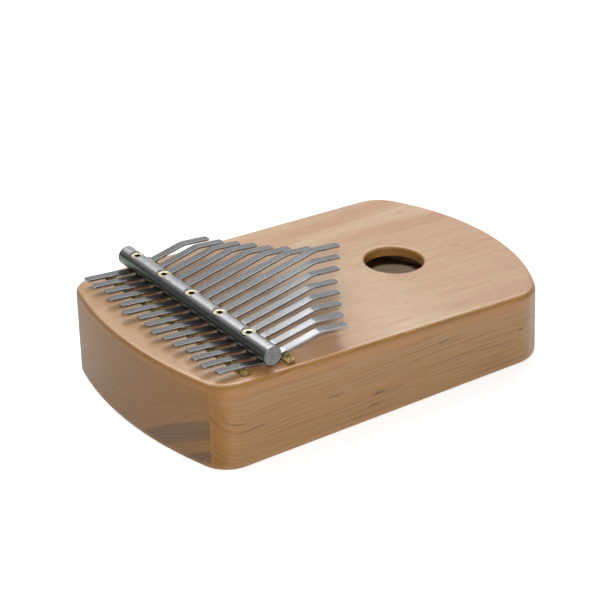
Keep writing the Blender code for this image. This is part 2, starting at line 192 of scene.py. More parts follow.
def cut_out(piece, cutters):
    """Take the cutters out of a piece, keep the result as its mesh and delete the cutters."""
    for cutter in cutters:
        boolean = piece.modifiers.new(cutter.name, "BOOLEAN")
        boolean.operation = "DIFFERENCE"
        boolean.solver = "EXACT"
        boolean.object = cutter
    graph = bpy.context.evaluated_depsgraph_get()
    mesh = bpy.data.meshes.new_from_object(piece.evaluated_get(graph))
    piece.modifiers.clear()
    piece.data = mesh
    mesh.set_sharp_from_angle(angle=SMOOTH_ANGLE)
    for cutter in cutters:
        bpy.data.objects.remove(cutter, do_unlink=True)


def report(piece):
    """Print a piece's size in millimetres and how many faces it has."""
    size = [round(length * 1000, 1) for length in piece.dimensions]
    print(f"{piece.name}: {size[0]} x {size[1]} x {size[2]} mm, {len(piece.data.polygons)} faces")


# %% [markdown]
# ## Shader maths as plain Python
#
# Procedural finishes are sums, products and blends of patterns. Written as node links they are
# hard to read, so one small class wraps an output socket and lets Python's own operators add the
# Math nodes. Its `node` method makes every other kind of node, such as noise or a colour mix.

# %% Wire class
class Wire:
    """An output socket in a material's node tree that takes part in Python arithmetic."""

    def __init__(self, tree, socket):
        self.tree = tree
        self.socket = socket

    def node(self, kind, inputs, out=0, **settings):
        """Make a node: its settings first, then the values or links of its inputs."""
        made = self.tree.nodes.new(kind)
        for key, value in settings.items():
            setattr(made, key, value)
        for key, value in inputs.items():
            if isinstance(value, Wire):
                self.tree.links.new(value.socket, made.inputs[key])
            else:
                made.inputs[key].default_value = value
        return Wire(self.tree, made.outputs[out])

    def maths(self, operation, *values):
        """A Math node on these values, in order."""
        return self.node("ShaderNodeMath", dict(enumerate(values)), operation=operation)

    def __add__(self, other):
        return self.maths("ADD", self, other)

    def __sub__(self, other):
        return self.maths("SUBTRACT", self, other)

    def __rsub__(self, other):
        return self.maths("SUBTRACT", other, self)

    def __mul__(self, other):
        return self.maths("MULTIPLY", self, other)

    def __truediv__(self, other):
        return self.maths("DIVIDE", self, other)

    def __pow__(self, other):
        return self.maths("POWER", self, other)

    def __abs__(self):
        return self.maths("ABSOLUTE", self)

    __radd__ = __add__
    __rmul__ = __mul__

    def between(self, low, high):
        """0 below low, 1 above high and a smooth step from one to the other."""
        limits = {"Value": self, "From Min": low, "From Max": high}
        return self.node("ShaderNodeMapRange", limits, interpolation_type="SMOOTHSTEP")

    def bump_near(self, place, width):
        """1 at a place, falling to 0 at a distance of width on both sides."""
        return 1 - abs(self - place).between(0, width)

    def mixed(self, first, second):
        """The first colour where this number is 0, the second where it is 1."""
        first, second = ((*c, 1) if isinstance(c, tuple) else c for c in (first, second))
        return self.node("ShaderNodeMix", {0: self, 6: first, 7: second}, out=2, data_type="RGBA")

    def tinted(self, layers):
        """This colour with other colours laid over it in turn, each by its own amount."""
        color = self
        for layer, amount in layers:
            color = amount.mixed(color, layer)
        return color

    def stretched(self, scale):
        """These coordinates times a scale along each axis."""
        return self.node("ShaderNodeVectorMath", {0: self, 1: scale}, operation="MULTIPLY")

    def noise(self, scale=1.0, detail=2.0, roughness=0.5):
        """Noise between 0 and 1 on these coordinates."""
        inputs = {"Vector": self, "Scale": scale, "Detail": detail, "Roughness": roughness}
        return self.node("ShaderNodeTexNoise", inputs)


def new_material(name, metallic=0.0):
    """A material, its Principled shader, and its Object coordinates as a wire."""
    material = bpy.data.materials.new(name)
    material.use_nodes = True
    tree = material.node_tree
    shader = tree.nodes["Principled BSDF"]
    shader.inputs["Metallic"].default_value = metallic
    place = Wire(tree, tree.nodes.new("ShaderNodeTexCoord").outputs["Object"])
    return material, shader, place


def connect(wire, shader, name):
    """Lead a wire into one of the shader's sockets."""
    wire.tree.links.new(wire.socket, shader.inputs[name])


def bumped(height, shader, distance, strength):
    """Let a height pattern, in units of distance metres, bend the shader's normal."""
    inputs = {"Height": height, "Distance": distance, "Strength": strength}
    bump = height.node("ShaderNodeBump", inputs)
    connect(bump, shader, "Normal")


def axes_of(place):
    """The x, y and z of a coordinate wire."""
    return [place.node("ShaderNodeSeparateXYZ", {0: place}, out=i) for i in range(3)]


def facing_of(place):
    """The x, y and z of the direction that the surface faces."""
    return axes_of(place.node("ShaderNodeNewGeometry", {}, out="Normal"))


def join(place, x, y, z):
    """Three numbers or wires as one coordinate wire."""
    return place.node("ShaderNodeCombineXYZ", {0: x, 1: y, 2: z})


# %% [markdown]
# ## Maple
#
# Wood is a solid with layers in it: growth rings round the tree's pith, which runs lengthwise.
# Where a face cuts the rings along the grain it shows long lines, and where it cuts them square
# it shows end grain. So the figure is worked out once in space, from the distance to the pith
# line, and each face of the box shows its own cut through it, corners included. The box is glued
# up from a top plate, two side boards and a middle block, and each comes from another part of the
# tree: that only changes where the pith lies. In each ring the colour deepens towards the late
# wood and then starts again, which a sawtooth of the distance describes.

# %% Growth rings
PLATE_DEPTH, BOARD_INSIDE = 5.0, 61.2
BLOCK_PITH, PLATE_PITH, BOARD_PITH = (122, -150), (15, -60), (110, 69)
BLOCK_RING, BOARD_RING = 1.7, 2.1


def picked(block, plate, board, masks):
    """The block's number, the plate's or the board's, by the two masks."""
    return block + masks[0] * (plate - block) + masks[1] * (board - block)


def growth(place, masks):
    """Distance to the pith in mm; then late wood, slow tone and fine weave, each from 0 to 1."""
    x, y, z = axes_of(place)
    plate, board = masks
    x = x + board * (abs(x) - x)
    sideways = x - picked(BLOCK_PITH[0], PLATE_PITH[0], BOARD_PITH[0], masks)
    upwards = z - picked(BLOCK_PITH[1], PLATE_PITH[1], BOARD_PITH[1], masks)
    slow = place.stretched((0.03, 0.010, 0.03)).noise() - 0.5
    quick = place.stretched((0.22, 0.035, 0.22)).noise() - 0.5
    straight = (sideways * sideways + upwards * upwards) ** 0.5
    distance = straight + slow * 7 + quick * 0.9
    pace = join(place, distance * 0.12, y * 0.003, 0).noise()
    phase = distance / picked(BLOCK_RING, BLOCK_RING, BOARD_RING, masks) + pace * 3.5
    saw = phase.maths("FRACT", phase)
    late = saw.between(0.1, 0.8) * (1 - saw.between(0.8, 1.0))
    year = join(place, phase * 0.8, y * 0.022, plate * 3 + board * 5).noise()
    tone = join(place, phase * 0.17, y * 0.006, plate * 5 + board * 9).noise()
    angle = upwards.maths("ARCTAN2", upwards, sideways)
    weave = join(place, distance * 1.3, angle * 35, y * 0.02).noise(detail=3.0, roughness=0.7)
    return straight + slow * 1.5, late * year.between(0.30, 0.70), tone, weave


def streak(along, distance, centre, level, half_length, half_height, lift=0.0):
    """1 on a thin streak that follows a ring of the side board, fading to 0 at its rim."""
    ring = math.hypot(BOARD_PITH[0] - BOX_WIDTH / MM / 2, BOARD_PITH[1] - level)
    run = (along - centre) * (1 / half_length)
    rise = (distance - ring + (along - centre) * lift) * (1 / half_height)
    return 1 - (run * run + rise * rise).between(0.1, 1.0)


# %% [markdown]
# ## The colour of oiled maple
#
# Oil deepens wood, and more so where it soaks into open grain. The top is tan with rosy bands,
# and its clear finish mirrors the bright backdrop at a flat angle. Beside the hole a pale patch is
# a painted reflection of that backdrop. Near the end and under the tines the top is painted a
# warmer orange, a painted shade where bar and tines block light and the mirrored backdrop. The
# sides are more ochre. End grain drinks most, so it is brown and nearly matt, and a few dark years
# cross the near end. The rounded edges carry an orange band, a painted highlight. Over the rings
# lie fibres a tenth of a millimetre wide, short dark flecks and the streaks of this very board.
# Every one of these is a layer: a colour, and an amount that says where it lies. Inside the hollow
# the wood is bare.

# %% Maple
TAN = (0.530, 0.317, 0.148)
ROSY = (0.505, 0.250, 0.115)
PALE = (0.600, 0.425, 0.260)
OCHRE = (0.360, 0.172, 0.036)
LATE_WOOD = (0.190, 0.080, 0.020)
ORANGE = (0.430, 0.185, 0.050)
DEEP_ORANGE = (0.290, 0.130, 0.036)
END_GRAIN = (0.205, 0.100, 0.028)
DARK_YEARS = (0.085, 0.050, 0.032)
DARK_MARK = (0.050, 0.032, 0.014)
GREYISH = (0.370, 0.215, 0.095)
BARE = (0.600, 0.470, 0.330)

# Dark years of the block, as distances from the pith in mm: first and last
DARK_BANDS = ((177.5, 187.0), (165.5, 171.5))

# Streaks of the side boards: place, level, half length, half height, lift, strength
STREAKS = [
    (-93.0, 24.3, 7.5, 0.50, 0.03, 0.95),
    (-84.0, 20.4, 11.0, 0.5, 0.0, 0.35),
    (-36.5, 21.6, 6.0, 0.6, 0.0, 0.70),
    (-17.5, 21.6, 4.0, 0.5, 0.0, 0.5),
    (-10.5, 14.2, 5.5, 0.9, 0.04, 0.75),
    (-1.0, 13.0, 9.0, 1.0, 0.04, 0.35),
    (-13.0, 8.4, 5.0, 0.6, 0.0, 0.60),
    (30.5, 29.4, 5.5, 0.5, 0.0, 0.70),
    (24.0, 29.4, 26.0, 0.5, 0.0, 0.35),
    (40.0, 18.0, 45.0, 0.8, 0.02, 0.30),
    (62.0, 16.0, 20.0, 0.5, -0.04, 0.40),
    (78.5, 20.3, 2.2, 1.0, 0.0, 0.70),
    (84.0, 24.0, 6.0, 0.6, -0.15, 0.5),
    (-54.0, 40.2, 5.0, 0.4, 0.0, 0.45),
    (-28.0, 34.6, 3.0, 0.7, 0.0, 0.30),
    (-20.0, 4.2, 40.0, 0.4, 0.0, 0.30),
]


def maple(name, is_box=True):
    """Oiled maple whose figure is one solid pattern that every face cuts its own way."""
    material, shader, place = new_material(name)
    shader.inputs["Specular IOR Level"].default_value = 0.35
    shader.inputs["Coat Roughness"].default_value = 0.27
    place = place.stretched((1 / MM, 1 / MM, 1 / MM))
    x, y, z = axes_of(place)
    nx, ny, nz = facing_of(place)
    side, end, top = abs(nx).between(0.3, 0.85), abs(ny).between(0.35, 0.95), nz.between(0.9, 0.99)
    round_over = nz.between(0.10, 0.45) * (1 - nz.between(0.88, 0.99))
    depth = MIDDLE_HEIGHT / MM + y * TOP_SLOPE - z
    plate = 1 - depth.between(PLATE_DEPTH - 0.1, PLATE_DEPTH + 0.1)
    board = abs(x).between(BOARD_INSIDE - 0.1, BOARD_INSIDE + 0.1) * (1 - plate)
    block_like = (1 - plate) * (1 - board)
    block_end = end * block_like
    wall_y = HOLLOW_NEAR_Y / MM - 0.5
    inner_face = y.between(wall_y, wall_y + 0.2) * (1 - ny.between(0.1, 0.3))
    inside = block_like * (inner_face if is_box else nz.between(0.5, 0.9)) * z.between(0.2, 0.5)

    distance, late, tone, weave = growth(place, (plate, board))
    grain = place.stretched((0.35, 0.012, 0.35)).noise(detail=3.0, roughness=0.6)
    fibres = place.stretched((2.6, 0.055, 2.6)).noise(detail=3.0, roughness=0.6)
    fleck = place.stretched((0.9, 0.075, 0.9)).noise(detail=1.0).between(0.72, 0.77)
    # Painted reflection: a pale patch beside the hole, where the clear finish mirrors the backdrop
    backdrop_reflection_patch = x.between(25, 58) * y.bump_near(14, 36) * top

    color = (tone * 0.55 + grain * 0.45).between(0.44, 0.60).mixed(TAN, ROSY)
    layers = [
        # Slow changes of tone, a painted reflection of the backdrop as a pale patch beside the
        # hole, and the deeper colour of the sides
        (PALE, (1 - tone.between(0.36, 0.50)) * plate * 0.5),
        (ORANGE, tone.between(0.53, 0.63) * plate * 0.22),
        (PALE, backdrop_reflection_patch * (0.25 + grain.between(0.40, 0.60) * 0.55)),
        (OCHRE, side * 0.80 + end * 0.57),
        # Late wood and the weave across it, fibres and flecks
        (LATE_WOOD, late * (0.08 + side * 0.42 + end * 0.40)),
        (LATE_WOOD, (1 - weave.between(0.32, 0.55)) * (0.05 + side * 0.28 + end * 0.55)),
        (LATE_WOOD, (1 - fibres.between(0.30, 0.55)) * 0.24),
        (TAN, fibres.between(0.52, 0.75) * 0.30),
        (LATE_WOOD, fleck * (1 - end) * 0.6),
        # End grain and its dark years
        (END_GRAIN, block_end * 0.70),
    ]
    for first, last in DARK_BANDS:
        inner = distance.between(first - 2, first + 2)
        outer = distance.between(last - 0.7, last + 0.7)
        layers.append((DARK_YEARS, inner * (1 - outer) * block_end * (0.50 + late * 0.32)))
    layers += [
        # Bare wood in the hollow, then a painted highlight on the rounded edges,
        # painted shade on the top near the end and under the tines, and a warmer side near the end
        (BARE, inside),
        # Painted highlight: an orange band on the rounded edges, deeper orange on the near end
        (ORANGE, round_over * 0.12),
        (DEEP_ORANGE, round_over * end * 0.6),
        # Painted shade: a warmer orange on the top near the end and under the tines, where bar and
        # tines block light and the mirrored backdrop
        (ORANGE, top * (1 - y.between(-108, -85)) * 0.40),
        (ORANGE, top * (1 - y.between(-60, 10)) * y.between(-85, -80) * 0.5),
        (DEEP_ORANGE, side * (1 - y.between(-105, -40)) * 0.20),
        # The edge of the top plate, the board just below it and the foot of the box
        (ORANGE, depth.bump_near(4.8, 3.2) * side * (1 - round_over) * 0.65),
        (GREYISH, depth.bump_near(9.5, 3.0) * side * 0.35),
        (DEEP_ORANGE, plate * end * 0.8),
        (DEEP_ORANGE, block_end * z.between(20, 42) * 0.35),
        (LATE_WOOD, board * end * 0.28),
        (TAN, (side + end) * (1 - z.between(2.6, 3.8)) * 0.15),
    ]
    for centre, level, half_length, half_height, lift, strength in STREAKS if is_box else ():
        wavy = distance + (weave - 0.5) * 1.5
        spot = streak(y, wavy, centre, level, half_length, half_height * 0.8, lift)
        layers.append((DARK_MARK, spot * board * x.between(0, 1) * strength))

    connect(color.tinted(layers), shader, "Base Color")
    connect(0.40 + fibres * 0.10 + end * 0.10, shader, "Roughness")
    connect((1.0 - end * 0.85 - side * 0.35) * (1 - inside), shader, "Coat Weight")
    bumped(fibres * 0.6 + late * 0.4, shader, 0.00005, 0.5)
    return material


box_maple = maple("oiled_maple")
back_maple = maple("back_maple", is_box=False)
print("maple:", len(box_maple.node_tree.nodes), "nodes")

# %% [markdown]
# ## Outlines from lines and arcs
#
# Seen from above, the box is two straight sides, two bowed ends and four round corners. Each
# piece of such an outline is a line or an arc with its own number of points, and each point
# carries its outward direction. Moving the points against that direction gives the smaller
# rings that a rounded rim needs, with the same number of points, so the rings can be skinned.

# %% Outlines
def line(start, end, direction, count):
    """Evenly spaced points from start to end, with one outward direction; the end is left out."""
    share = np.linspace(0, 1, count, endpoint=False)[:, None]
    points = (1 - share) * np.array(start) + share * np.array(end)
    return points, np.broadcast_to(np.array(direction, float), points.shape)


def arc(centre, radius, start, end, count):
    """centre + radius (cos a, sin a) for a from start to end; the end is left out."""
    angle = np.linspace(start, end, count, endpoint=False)
    outwards = np.stack([np.cos(angle), np.sin(angle)], -1)
    return np.array(centre) + radius * outwards, outwards


def quarter_round(radius, count):
    """Pairs for a rounded edge: radius x (1 - sin a) and radius x (1 - cos a)."""
    angle = np.linspace(0, math.pi / 2, count)
    return list(zip(radius * (1 - np.sin(angle)), radius * (1 - np.cos(angle))))


def bow_radius(bow):
    """Radius of the arc over the box's width that stands out by bow."""
    return ((BOX_WIDTH / 2) ** 2 + bow**2) / (2 * bow)


def bowed_end(half_width, end_y, radius, corner, side, counts):
    """Corner, wide arc, corner, and how far along the box the corners begin.

    They run from +X to -X at the far end (side 1) and from -X to +X at the near end (side -1).
    """
    centre_y = end_y - side * radius
    rise = math.sqrt((radius - corner) ** 2 - (half_width - corner) ** 2)
    turn = math.atan2(rise, half_width - corner)
    start, corner_y = (0 if side > 0 else math.pi), centre_y + side * rise
    inner, finish = half_width - corner, start + math.pi
    first = arc((side * inner, corner_y), corner, start, start + turn, counts[0])
    middle = arc((0, centre_y), radius, start + turn, finish - turn, counts[1])
    last = arc((-side * inner, corner_y), corner, finish - turn, finish, counts[0])
    return [first, middle, last], corner_y


def joined(pieces):
    """The points and the outward directions of all pieces, one after the other."""
    return np.concatenate([p for p, n in pieces]), np.concatenate([n for p, n in pieces])


def box_outline(corner_count=14, bow_count=64, side_count=84):
    """The box from above, anticlockwise from the near end of its +X side."""
    half, counts = BOX_WIDTH / 2, (corner_count, bow_count)
    far, far_y = bowed_end(half, BOX_LENGTH / 2, bow_radius(FAR_BOW), FAR_CORNER, 1, counts)
    near, near_y = bowed_end(half, -BOX_LENGTH / 2, bow_radius(NEAR_BOW), NEAR_CORNER, -1, counts)
    right_side = line((half, near_y), (half, far_y), (1, 0), side_count)
    left_side = line((-half, far_y), (-half, near_y), (-1, 0), side_count)
    return joined([right_side] + far + [left_side] + near)


def hollow_outline(grow):
    """The hollow from above, grown outwards: a bowed far end, straight sides, a square near end."""
    half, corner = BOX_WIDTH / 2 - WALL + grow, HOLLOW_CORNER + grow
    end_y, radius = BOX_LENGTH / 2 - WALL + grow, bow_radius(FAR_BOW) - WALL + grow
    far, far_y = bowed_end(half, end_y, radius, corner, 1, (60, 200))
    near_y, inner = HOLLOW_NEAR_Y - grow, half - corner
    near_left = arc((-inner, near_y + corner), corner, math.pi, 1.5 * math.pi, 60)
    near_right = arc((inner, near_y + corner), corner, 1.5 * math.pi, 2 * math.pi, 60)
    near_line = line((-inner, near_y), (inner, near_y), (0, -1), 200)
    left_side = line((-half, far_y), (-half, near_y + corner), (-1, 0), 200)
    right_side = line((half, near_y + corner), (half, far_y), (1, 0), 200)
    return joined([right_side] + far + [left_side, near_left, near_line, near_right])[0]


rim, outwards = box_outline()
print("outline:", len(rim), "points round the box")

# %% [markdown]
# ## The box
#
# The block could be a cube with Booleans and bevels, but a single skin gives cleaner shading.
# Round the box run rings of points. Ring after ring, the skin goes up the side, over the rounded
# rim, across the sloping top to the sound hole, over the hole's lip, down through the top plate,
# out along the ceiling of the hollow, down its wall, over the ledge for the back plate and back
# to where it began, so that it closes on itself like a tyre. Only the two grooves that the
# bridges lie in are cut afterwards.

# %% Box skin
def top_height(y):
    """Height of the sloping top above the floor at a place along the box."""
    return MIDDLE_HEIGHT + TOP_SLOPE * y


def ring(inset, height):
    """The box's outline drawn in by inset, at a height."""
    plan = rim - inset * outwards
    return np.column_stack([plan, np.broadcast_to(height, len(plan))])


HOLE_CENTRE = on_top(0.0, HOLE_Y, 0.0)
bearing = np.arctan2(rim[:, 1] - HOLE_CENTRE[1], rim[:, 0])


def hole_ring(radius, depth):
    """A circle round the sound hole's axis, its points in the same bearings as the outline's."""
    return on_top(radius * np.cos(bearing), HOLE_Y + radius * np.sin(bearing), -depth)


def hollow_ring(grow, height):
    """The hollow's outline at a height: its distance from the hole's centre in each bearing."""
    plan = hollow_outline(grow) - HOLE_CENTRE[:2]
    around, reach = np.arctan2(plan[:, 1], plan[:, 0]), np.hypot(plan[:, 0], plan[:, 1])
    order = np.argsort(around)
    distance = np.interp(bearing, around[order], reach[order], period=2 * math.pi)
    x, y = distance * np.cos(bearing), HOLE_CENTRE[1] + distance * np.sin(bearing)
    height = height(y) if callable(height) else height
    return np.column_stack([x, y, np.broadcast_to(height, len(y))])


def rings_between(first, last, shares):
    """Rings on the straight lines from one ring to another."""
    return [(1 - share) * first + share * last for share in shares]


def box_rings():
    """Every ring of the skin, from the back plate's rebate round to itself."""
    bottom = hollow_ring(LEDGE, 0.0)
    rings = [bottom] + rings_between(bottom, ring(BOTTOM_ROUND, 0.0), (0.3, 0.7, 0.95))
    rings += [ring(inset, height) for inset, height in quarter_round(BOTTOM_ROUND, 7)]
    below_rim = ring(0.0, top_height(rim[:, 1]) - TOP_ROUND)
    rings += rings_between(rings[-1], below_rim, np.linspace(0, 1, 8)[1:-1])
    for drop, inset in quarter_round(TOP_ROUND, 9):
        plan_y = rim[:, 1] - inset * outwards[:, 1]
        rings.append(ring(inset, top_height(plan_y) - drop))
    lip = hole_ring(HOLE_RADIUS + HOLE_LIP, 0.0)
    rings += rings_between(rings[-1], lip, [0.008, 0.03, *np.linspace(0.08, 0.92, 12), 0.985])
    rings += [hole_ring(HOLE_RADIUS + wider, depth) for wider, depth in quarter_round(HOLE_LIP, 9)]
    ceiling_edge = hole_ring(HOLE_RADIUS, TOP_PLATE)
    rings += rings_between(rings[-1], ceiling_edge, (0.1, 0.5, 0.92, 1.0))
    ceiling = hollow_ring(0.0, lambda y: top_height(y) - TOP_PLATE / math.cos(TILT))
    rings += rings_between(ceiling_edge, ceiling, (0.03, 0.3, 0.6, 0.97, 1.0))
    foot = hollow_ring(0.0, BACK + GAP)
    rings += rings_between(ceiling, foot, (0.04, 0.5, 0.96, 1.0))
    ledge = hollow_ring(LEDGE, BACK + GAP)
    return np.stack(rings + rings_between(foot, ledge, (0.1, 0.9, 1.0)))


box_piece = new_piece("maple_box", box_rings(), wrap_rows=True)
report(box_piece)

# %% [markdown]
# ## Round stock
#
# Rods, bar and screws are turned shapes: a profile of distances along the axis and radii, carried
# round the axis. A thread is the same surface with a radius that also depends on the angle, so
# that its crest climbs one pitch in each turn. One function makes them all lie along X.

# %% Rods
def turned_x(along, radius, y, z, shift=0.0, count=48):
    """Rings round an axis along X: (along, r cos a, r sin a), placed on the sloping top.

    radius is one value for each ring, or a grid of one for each ring and angle.
    """
    angle = np.linspace(0, 2 * math.pi, count, endpoint=False)
    if np.ndim(radius) == 1:
        radius = radius[:, None]
    along = along[:, None] + shift
    return on_top(along, y + radius * np.cos(angle), z + radius * np.sin(angle))


def rounded_rod(radius, length, edge):
    """Profile of a plain rod with rounded rims, from pole to pole."""
    half = length / 2
    corner = [(inset - half, radius - drop) for inset, drop in quarter_round(edge, 6)][::-1]
    face = [(-half, 0.0), (-half, (radius - edge) * 0.5), (-half, (radius - edge) * 0.96)]
    middle = [(share * (half - edge), radius) for share in np.linspace(-0.98, 0.98, 15)]
    left = np.vstack([face, corner])
    profile = np.vstack([left, middle, left[::-1] * (-1, 1)])
    return profile[:, 0], profile[:, 1]


grooves = []
for name, rod in RODS:
    along, radius = rounded_rod(rod["radius"] + GAP, rod["length"] + 2 * GAP, 0.2 * MM)
    cutter = turned_x(along, radius, rod["y"], rod["top"] - rod["radius"])
    grooves.append(new_piece(name + "_groove", cutter))
cut_out(box_piece, grooves)
box_piece.data.materials.append(box_maple)
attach(box_piece, "frame")
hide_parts("body")
report(box_piece)

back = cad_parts["back_plate"]
back.data.materials.clear()
back.data.materials.append(back_maple)

# %% [markdown]
# ## Brass, steel and zinc
#
# The metals differ in colour and in how they were made. The brass rod has dulled in brownish
# patches. The tines are strip, brushed lengthwise, so fine lines run along them, and behind the
# bar they are painted darker, a painted shade of the bar. The bar is drawn round stock with faint
# lines along its length, a painted shade on its lower half, pale milled pockets and a sawn, faced
# end. The screws are yellow zinc, a thin greenish gold with warmer patches, with painted shade
# down in their sockets.

# %% Metals
def brass(name):
    """Dull brass with darker, brownish patches."""
    material, shader, place = new_material(name, metallic=0.6)
    patches = place.noise(420, detail=3.0)
    color = patches.between(0.35, 0.7).mixed((0.60, 0.44, 0.17), (0.17, 0.115, 0.045))
    connect(color, shader, "Base Color")
    connect(0.20 + patches * 0.24, shader, "Roughness")
    return material


def spring_steel(name):
    """Satin strip with fine lines along Y and a soft mottling, and painted shade from the bar
    backwards.
    """
    material, shader, place = new_material(name, metallic=0.88)
    lines = place.stretched((5200, 30, 2600)).noise()
    mottle = place.stretched((300, 90, 300)).noise(detail=3.0)
    rear_part = 1 - axes_of(place)[1].between(-78 * MM, -62 * MM)
    color = mottle.between(0.3, 0.7).mixed((0.370, 0.374, 0.385), (0.310, 0.314, 0.325))
    # Painted shade: from the bar backwards the colour is darkened for the bar's shade; the
    # roughness rises there too
    connect(color.tinted([((0.24, 0.24, 0.24), rear_part * 0.5)]), shader, "Base Color")
    connect(0.09 + lines * 0.04 + mottle * 0.02 + rear_part * 0.03, shader, "Roughness")
    bumped(lines, shader, 0.000003, 0.3)
    return material


def drawn_steel(name):
    """Round bar: lines along X, a mottled skin, painted shade on its lower half, milled pocket
    walls and a faced end.
    """
    material, shader, place = new_material(name, metallic=1.0)
    x, _, z = axes_of(place)
    nx, _, nz = facing_of(place)
    lines = place.stretched((40, 3600, 3600)).noise()
    mottle = place.noise(520, detail=4.0, roughness=0.65)
    half = BAR_LENGTH / 2
    at_end = abs(x - BAR_OFFSET).between(half - 0.7 * MM, half - 0.5 * MM)
    faced_end = abs(nx).between(0.8, 0.97) * at_end
    axis_height = float(on_top(0.0, BAR_Y, BAR_UNDERSIDE + BAR_RADIUS)[2])
    height = (z - axis_height) * (1 / BAR_RADIUS)
    pocket_wall = height.between(0.35, 0.45) * (1 - nz.between(0.10, 0.35)) * (1 - faced_end)
    pits = place.noise(900, detail=4.0, roughness=0.7).between(0.42, 0.62)
    color = mottle.between(0.35, 0.7).mixed((0.37, 0.365, 0.38), (0.29, 0.295, 0.30))
    layers = [
        # Painted shade: the lower half darker and the underside darkest, where the bar is shaded
        # and mirrors the dark wood below
        ((0.115, 0.135, 0.118), (1 - height.between(0.25, 0.80)) * (1 - faced_end)),
        ((0.045, 0.045, 0.032), (1 - height.between(-0.75, -0.15)) * (1 - faced_end)),
        ((0.50, 0.50, 0.49), pocket_wall),
        ((0.210, 0.211, 0.207), faced_end),
        ((0.095, 0.096, 0.094), faced_end * pits * 0.7),
    ]
    roughness = 0.24 + lines * 0.08 + mottle * 0.12 + faced_end * 0.12 + pocket_wall * 0.25
    connect(color.tinted(layers), shader, "Base Color")
    connect(roughness, shader, "Roughness")
    connect(1 - pocket_wall * 0.9 - at_end * 0.55, shader, "Metallic")
    bumped(lines * 0.5 + mottle * 0.5, shader, 0.000012, 0.5)
    return material


def yellow_zinc(name):
    """Plated steel: pale greenish gold with warmer patches, and painted shade where it lies deep in
    the socket.
    """
    material, shader, place = new_material(name, metallic=1.0)
    patches = place.noise(330)
    _, y, z = axes_of(place)
    sunk = HEAD_TOP - (z - MIDDLE_HEIGHT - y * TOP_SLOPE) * math.cos(TILT)
    color = patches.between(0.38, 0.62).mixed((0.46, 0.45, 0.28), (0.56, 0.42, 0.32))
    # Painted shade: the socket darkened with its depth below the head
    painted_socket_shade = sunk.between(0.05 * MM, 0.5 * MM) * 0.9
    connect(color.tinted([((0.10, 0.075, 0.04), painted_socket_shade)]), shader, "Base Color")
    connect(0.26 + patches * 0.14, shader, "Roughness")
    return material


rod_brass, tine_steel = brass("thread_brass"), spring_steel("spring_strip")
bar_steel, screw_zinc = drawn_steel("drawn_bar"), yellow_zinc("yellow_zinc")

# %% [markdown]
# ## Bridges: threaded rod
#
# Metric thread is a V cut with a sixty degree angle. Here the radius follows a rounded triangle
# wave of the phase x / pitch - angle / 360, which climbs one pitch in each turn. At both ends the
# rod is cut off with a small chamfer: the radius there is the smaller of the thread and a cone.

# %% Threaded rods
DEPTH_BY_PITCH = 0.54


def triangle(phase):
    """1 at whole numbers, falling along straight lines to 0 halfway between them."""
    return np.abs(2 * (phase - np.floor(phase)) - 1)


def threaded_rod(rod, count=30, samples=7):
    """Radius = crest - depth x wave(x / pitch - angle / turn), limited by a chamfer at the ends."""
    radius, pitch, half = rod["radius"], rod["pitch"], rod["length"] / 2
    depth = DEPTH_BY_PITCH * pitch
    along = np.linspace(-half, half, int(rod["length"] / pitch * samples))
    phase = along[:, None] / pitch - np.arange(count) / count
    wave = np.clip(1.15 * triangle(phase) - 0.05, 0, 1)
    chamfer = radius - 0.8 * depth + (half - np.abs(along))[:, None] * 1.2
    grid = np.minimum(radius - depth * wave, chamfer)
    caps = np.vstack([np.zeros((1, count)), grid[:1] * 0.9])
    grid = np.vstack([caps, grid, caps[::-1]])
    along = np.concatenate([[-half, -half], along, [half, half]])
    return turned_x(along, grid, rod["y"], rod["top"] - radius, count=count)


for name, rod in RODS:
    piece = new_piece(name + "_bridge_thread", threaded_rod(rod))
    piece.data.materials.append(rod_brass)
    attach(piece, "frame")
    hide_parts(name + "_bridge_rod")
    report(piece)

# %% [markdown]
# ## Clamp screws
#
# A countersunk wood screw: a flat head with a six-lobe socket, a right-angled cone and a shank.
# The head is one turned surface whose rings are not all circles. In the socket the radius swings
# six times round, r = mean + swing cos(6 angle), and the rings outside it are true circles again.
# The thread hardly shows, but it is there between the tines, so the shank gets its wave as well.

# %% Screws
TINE_PITCH, TINE_COUNT = 8.48 * MM, 15
SCREW_COUNT, TINES_PER_SCREW = 5, 3
SCREW = dict(length=30 * MM, head=3.5 * MM, rim=0.3 * MM, shank=1.5 * MM, tip=3 * MM)
SOCKET = dict(mean=1.52 * MM, swing=0.24 * MM, depth=1.4 * MM)
THREAD = dict(pitch=1.8 * MM, depth=0.45 * MM, start=12 * MM)


def tine_x(number):
    """Where a tine lies across the box."""
    return (number - (TINE_COUNT + 1) / 2) * TINE_PITCH


def screw_x(number):
    """Where a screw lies across the box: halfway between a tine and the next one."""
    tine = 1 + TINES_PER_SCREW * (number - 1)
    return (tine_x(tine) + tine_x(tine + 1)) / 2


